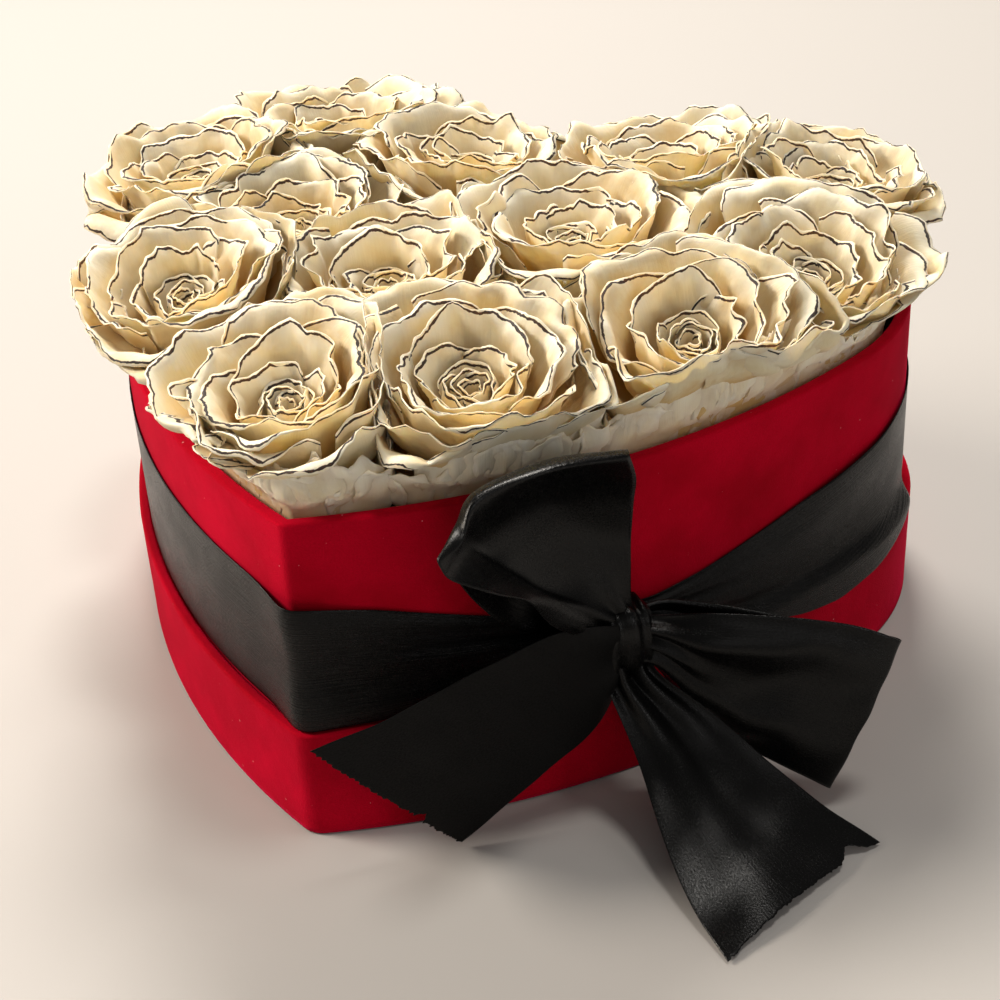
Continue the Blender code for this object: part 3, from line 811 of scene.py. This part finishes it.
def bezier(controls, t):
    """Points of a Bezier curve of any degree; controls are pairs."""
    degree = len(controls) - 1
    total = 0
    for i, control in enumerate(controls):
        weight = math.comb(degree, i) * (1 - t) ** (degree - i) * t**i
        total = total + weight[..., None] * np.array(control, float)
    return total


def petal(
    rng, facing, half_angle, calm, curled, ruffle, jag, lean, across, up, peak, shoulder,
    rolled=0.5, crumple=0.3,
):
    """A petal as a grid in the rose's frame, and each point's distance below the rim and along it, in mm.

    Its upright line runs between the calm and the curled one, more or less curled along the petal."""
    u = np.linspace(-1, 1, across)[:, None]
    v = np.linspace(0, 1, up)[None, :] ** 0.8
    corner = rng.uniform(-0.6, 0.6)
    rim = 1 - shoulder * np.abs(u) ** 3.2 + 0.035 * np.exp(-np.abs(u - corner) / 0.16)
    rim = rim + waves(rng, u, 3, 0.016, 3)
    spread = 0.50 + 0.50 * np.sin(np.minimum(v / 0.8, 1) * math.pi / 2)
    along = np.minimum(v * rim, 1.05)
    share = np.clip(rolled + 0.7 * rng.normal() * u + waves(rng, u, 2, 0.6, 1), 0, 1)
    line = bezier(calm, along) * (1 - share[..., None]) + bezier(curled, along) * share[..., None]
    radius, height = line[..., 0], line[..., 1]
    near_rim = smoothstep(along, 0.45, 1.0)
    radius = radius + ruffle * near_rim * waves(rng, u, 5, 1.2, 1)
    height = height + 0.7 * ruffle * near_rim * waves(rng, u, 5, 1.2, 1)
    creases = waves(rng, 1.3 * u + 0.5 * v, 4, 1.0, 2) + waves(rng, 1.1 * u - 0.9 * v, 4, 1.0, 3)
    radius = radius + crumple * creases * smoothstep(along, 0.2, 0.6)
    point = np.exp(-np.abs(u - corner) / 0.20) * near_rim
    height = height + peak * point
    radius = radius + 0.7 * peak * point
    fine = rng.normal(size=(across, 1))
    fine = (fine + np.roll(fine, 1, axis=0)) / 1.4
    last = smoothstep(v, 0.80, 1.0)
    radius = radius + 0.6 * jag * last * fine
    height = height + jag * last * np.roll(fine, 5, axis=0)
    radius = radius + lean * u * (0.3 + 0.7 * v)
    radius = np.maximum(radius, 0.35)
    turn = facing + half_angle * u * spread
    grid = np.stack([radius * np.cos(turn), radius * np.sin(turn), height], axis=-1)
    steps = np.linalg.norm(np.diff(grid, axis=1), axis=-1)
    total = np.cumsum(steps[:, ::-1], axis=1)[:, ::-1]
    below = np.concatenate([total, np.zeros((across, 1))], axis=1)
    side = radius * half_angle * u * spread
    return grid, below, side


def heart_petal(rng, facing, t):
    """A petal of the tight coil in the middle, from its centre at t = 0 outwards."""
    rim = 1.5 + 6.0 * t
    top = 17.5 + 2.0 * t + rng.normal() * 0.5
    low = ((rim * 0.5, 4), (rim * 0.9, 6), (rim * 1.25, top - 8))
    calm = (*low, (rim * 1.15, top - 2), (rim * 0.90, top))
    curled = (*low, (rim * 1.2, top - 1), (rim * 1.35, top - 0.5))
    half_angle = math.radians(118 - 30 * t)
    return petal(rng, facing, half_angle, calm, curled, 0.30, 0.08, 0.5 + 0.5 * t, 23, 9, 0.4, 0.15)


def ring_petal(rng, facing, t, radius):
    """An open petal with a rolled rim, from the heart at t = 0 to the rose's edge."""
    rim = 8.0 + (1.05 * radius - 8.0) * t**0.9 * rng.uniform(0.94, 1.06)
    top = 20.0 + 7.0 * math.sin(min(t / 0.6, 1) * math.pi / 2) - 12 * max(0, t - 0.62) ** 1.1
    top += rng.normal() * 1.0
    base = 6.0 - 12 * t
    start = min(0.5 * rim, 8)
    height = top - base
    roll = (1.4 + 7.5 * t**1.2) * rng.uniform(0.8, 1.25)
    knee = (start + 0.60 * (rim - start), base + 0.02 * height)
    low = ((start, base), knee, (rim * 0.90, base + 0.58 * height))
    calm = (*low, (rim * 0.97, top - 2.0), (rim + 0.15 * roll, top + 0.6))
    curled = (*low, (rim * 0.95, top + 0.45 * roll), (rim + roll, top - 0.50 * roll * (0.4 + t)))
    half_angle = math.radians(88 - 34 * t**0.8) * rng.uniform(0.88, 1.12)
    ruffle, jag = 0.9 + 2.2 * t, 0.16 + 0.34 * t
    peak, shoulder = rng.uniform(0.8, 3.4), rng.uniform(0.16, 0.34)
    return petal(
        rng, facing, half_angle, calm, curled, ruffle, jag, 0.07 * rim, 41, 14, peak, shoulder,
        rolled=0.25 + 0.75 * t,
    )


def guard_petal(rng, index, radius):
    """A short ragged petal standing up from the box's rim under the others."""
    rim = radius * rng.uniform(0.97, 1.08)
    top = rng.uniform(10.5, 16.0)
    low = ((9, -11), (0.80 * rim, -9), (0.97 * rim, -2))
    calm = (*low, (rim, top - 4), (rim + 0.6, top))
    curled = (*low, (rim, top), (rim + rng.uniform(1.5, 4), top - 1.0))
    half_angle = math.radians(rng.uniform(28, 40))
    facing = 2 * math.pi * index / GUARD_PETALS + rng.normal() * 0.12
    peak = rng.uniform(0, 2.5)
    return petal(
        rng, facing, half_angle, calm, curled, 2.0, 0.50, 0.03 * rim, 37, 13, peak, 0.2, crumple=0.9
    )


def rose_petals(rng, radius):
    """Every petal of one rose from its heart outwards: grid, distance below the rim, side, painted shade,
    lined.
    """
    found = []
    turn = rng.uniform(0, 2 * math.pi)
    # Each petal's painted shade follows its grid: more for petals deeper in the rose.
    for i in range(HEART_PETALS):
        t = (i + 0.5) / HEART_PETALS
        found.append((*heart_petal(rng, turn, t), 0.50 - 0.2 * t, True))
        turn += GOLDEN + rng.normal() * 0.2
    for i in range(RING_PETALS):
        t = (i + 0.5) / RING_PETALS
        found.append((*ring_petal(rng, turn, t, radius), 0.34 - 0.16 * t, True))
        turn += GOLDEN + rng.normal() * 0.16
    for i in range(GUARD_PETALS):
        found.append((*guard_petal(rng, i, radius), 0.15, False))
    return found


def outward_tilt(index):
    """How a rose leans: over the nearest edge of the box, more the nearer it stands."""
    centre = np.array(ROSES[index][:2], float)
    apart = OUTLINE - centre
    distance = np.linalg.norm(apart, axis=1)
    near = int(np.argmin(distance))
    pull = smoothstep(-distance[near], -58, -30)
    return apart[near] / distance[near] * 0.15 * pull + np.array([0.02, -0.05])


def first_side_outwards(points, grid):
    """Whether a petal's first side faces away from the rose's axis, from a point near its middle."""
    half = len(points) // 2
    sample = half // 2 + 6
    return np.dot(points[sample] - points[half + sample], (*grid[14, 6, :2], 0)) > 0


def make_rose(index, lined, plain):
    rng = np.random.default_rng(1200 + index)
    x, y, radius = ROSES[index]
    tables = reach_tables(index)
    tilt = outward_tilt(index) + rng.normal(size=2) * 0.03
    lift = rng.uniform(-0.6, 1.0)
    parts = {True: [], False: []}
    for grid, below, side, painted_shade, has_line in rose_petals(rng, radius * 1.03):
        high = smoothstep(grid[..., 2], -4, 14)
        leaning = (grid[..., 0] * tilt[0] + grid[..., 1] * tilt[1]) * (1.0 if has_line else 0.6)
        grid[..., 0] += 0.6 * tilt[0] * grid[..., 2] * high
        grid[..., 1] += 0.6 * tilt[1] * grid[..., 2] * high
        grid[..., 2] += (lift - leaning) * high
        grid = squeeze(grid, tables, not has_line)
        grid = crumpled(grid, rng, PETAL_CRUMPLE if has_line else GUARD_CRUMPLE)
        points, quads = sheet_mesh(grid, PETAL_THICK)
        # Painted shade: more amber further below the rim.
        shade = painted_shade + 0.75 * smoothstep(below, 5, 24)
        side = side + rng.uniform(0, 60)
        # Painted shade: each petal's outer side gets more than its inner side.
        data = [
            np.stack([below, side, shade + more], axis=-1).reshape(-1, 3) for more in (-0.08, 0.12)
        ]
        if first_side_outwards(points, grid):
            data.reverse()
        parts[has_line].append((points + (x, y, RIM), quads, np.concatenate(data)))
    for has_line, name in ((True, "rose_petals"), (False, "rose_guards")):
        points, quads, data, count = [], [], [], 0
        for p, q, d in parts[has_line]:
            points.append(p)
            quads.append(q + count)
            data.append(d)
            count += len(p)
        points, quads, data = (np.concatenate(each) for each in (points, quads, data))
        obj = make_object(f"{name}_{index + 1:02d}", points, quads, {"petal": data})
        use(obj, lined if has_line else plain)
        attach(obj, "box")
    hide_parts(f"rose_head_{index + 1:02d}")


# ---- stage, light and camera ----


def make_floor(size):
    mesh = bpy.data.meshes.new("floor")
    s = size / 2
    mesh.from_pydata([(-s, -s, 0), (s, -s, 0), (s, s, 0), (-s, s, 0)], [], [(0, 1, 2, 3)])
    floor = bpy.data.objects.new("floor", mesh)
    floor.location = (0, 0, -0.0002)
    bpy.context.scene.collection.objects.link(floor)
    finish = Nodes("pale_floor", Roughness=0.55, Specular_IOR_Level=0.3)
    finish.set("Base Color", (0.43, 0.412, 0.394, 1))
    use(floor, finish.material)


def area_light(name, place, target, size, power, colour, tall=None):
    data = bpy.data.lights.new(name, "AREA")
    data.shape = "RECTANGLE" if tall else "DISK"
    data.size = size
    if tall:
        data.size_y = tall
    data.energy = power
    data.color = colour
    obj = bpy.data.objects.new(name, data)
    obj.location = place
    obj.rotation_euler = (Vector(target) - Vector(place)).to_track_quat("-Z", "Y").to_euler()
    bpy.context.scene.collection.objects.link(obj)


def sun_light(name, from_direction, angle, power, colour):
    data = bpy.data.lights.new(name, "SUN")
    data.energy = power
    data.angle = math.radians(angle)
    data.color = colour
    obj = bpy.data.objects.new(name, data)
    obj.rotation_euler = Vector(from_direction).to_track_quat("Z", "Y").to_euler()
    bpy.context.scene.collection.objects.link(obj)


def make_stage():
    make_floor(60.0)
    world = bpy.data.worlds.new("soft_room")
    world.use_nodes = True
    background = world.node_tree.nodes["Background"]
    background.inputs["Color"].default_value = (1.0, 0.965, 0.93, 1)
    background.inputs["Strength"].default_value = 0.2
    bpy.context.scene.world = world
    area_light("key", (-1.25, -0.30, 0.85), (0, 0, 0.08), 0.6, 28, (1.0, 0.90, 0.78))
    area_light("top", (-0.40, 0.85, 1.25), (0, 0, 0.10), 0.55, 26, (1.0, 0.94, 0.86))
    sun_light("daylight", (0.20, 0.10, 1.22), 10, 0.9, (1.0, 0.96, 0.90))
    area_light("strip", (1.15, -0.50, 0.50), (0, 0, 0.08), 0.05, 2.0, (1.0, 0.97, 0.95), 0.85)
    area_light("fill", (0.9, -1.2, 0.8), (0, 0, 0.05), 0.9, 1.2, (1.0, 0.96, 0.92))
    bpy.context.scene.view_settings.view_transform = "Standard"


def make_camera():
    """A short telephoto from the front right, above the box and a little tilted."""
    data = bpy.data.cameras.new("camera")
    data.lens = 71.6
    data.sensor_width = 36.0
    data.clip_start = 0.01
    camera = bpy.data.objects.new("camera", data)
    right = Vector((0.92820, 0.36883, -0.04904))
    up = Vector((-0.16243, 0.52024, 0.83843))
    back = right.cross(up)
    turn = Matrix((right, up, back)).transposed().to_4x4()
    camera.matrix_world = Matrix.Translation((0.1994, -0.4327, 0.3433)) @ turn
    bpy.context.scene.collection.objects.link(camera)
    bpy.context.scene.camera = camera


def main():
    make_camera()
    make_stage()
    velvet = velvet_material("red_velvet", (0.52, 0.0004, 0.017), (0.34, 0.0002, 0.008))
    satin = satin_material("black_satin", 0.18, 1.0, 0.17)
    band = satin_material("black_satin_band", 0.26, 1.6, 0.17, 0.00030)
    matte = satin_material("black_satin_back", 0.5, 0.35, 0.12)
    lined = petal_material("lined_petal", LINED_PETAL, True)
    plain = petal_material("guard_petal", GUARD_PETAL, False)
    greyboard = board_material("greyboard", (0.34, 0.32, 0.29), 400)
    paper = board_material("black_paper", (0.03, 0.03, 0.03), 700)
    # The foam's own green, darkened with painted shade so the gaps between the roses read dark.
    foam = board_material("floral_foam", (0.055, 0.085, 0.035), 900)
    stem = board_material("stem_green", (0.08, 0.13, 0.04), 300, 0.7)
    make_cover(
        "velvet_wall", 0.0, -3.4, BOX_FOOT, RIM, velvet, "box_velvet_band", "box", 3
    )
    make_cover(
        "velvet_lid", LID_OUT, 0.4, 0.3, LID_RIM, velvet, "lid_velvet_band", "lid", 8
    )
    make_band(band)
    make_bow(satin, matte)
    for index in range(len(ROSES)):
        make_rose(index, lined, plain)
    for name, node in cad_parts.items():
        if "velvet" in name:
            use(node, velvet)
        elif "board" in name:
            use(node, greyboard)
        elif "paper" in name or "lining" in name:
            use(node, paper)
        elif "foam" in name:
            use(node, foam)
        elif "stem" in name:
            use(node, stem)


main()
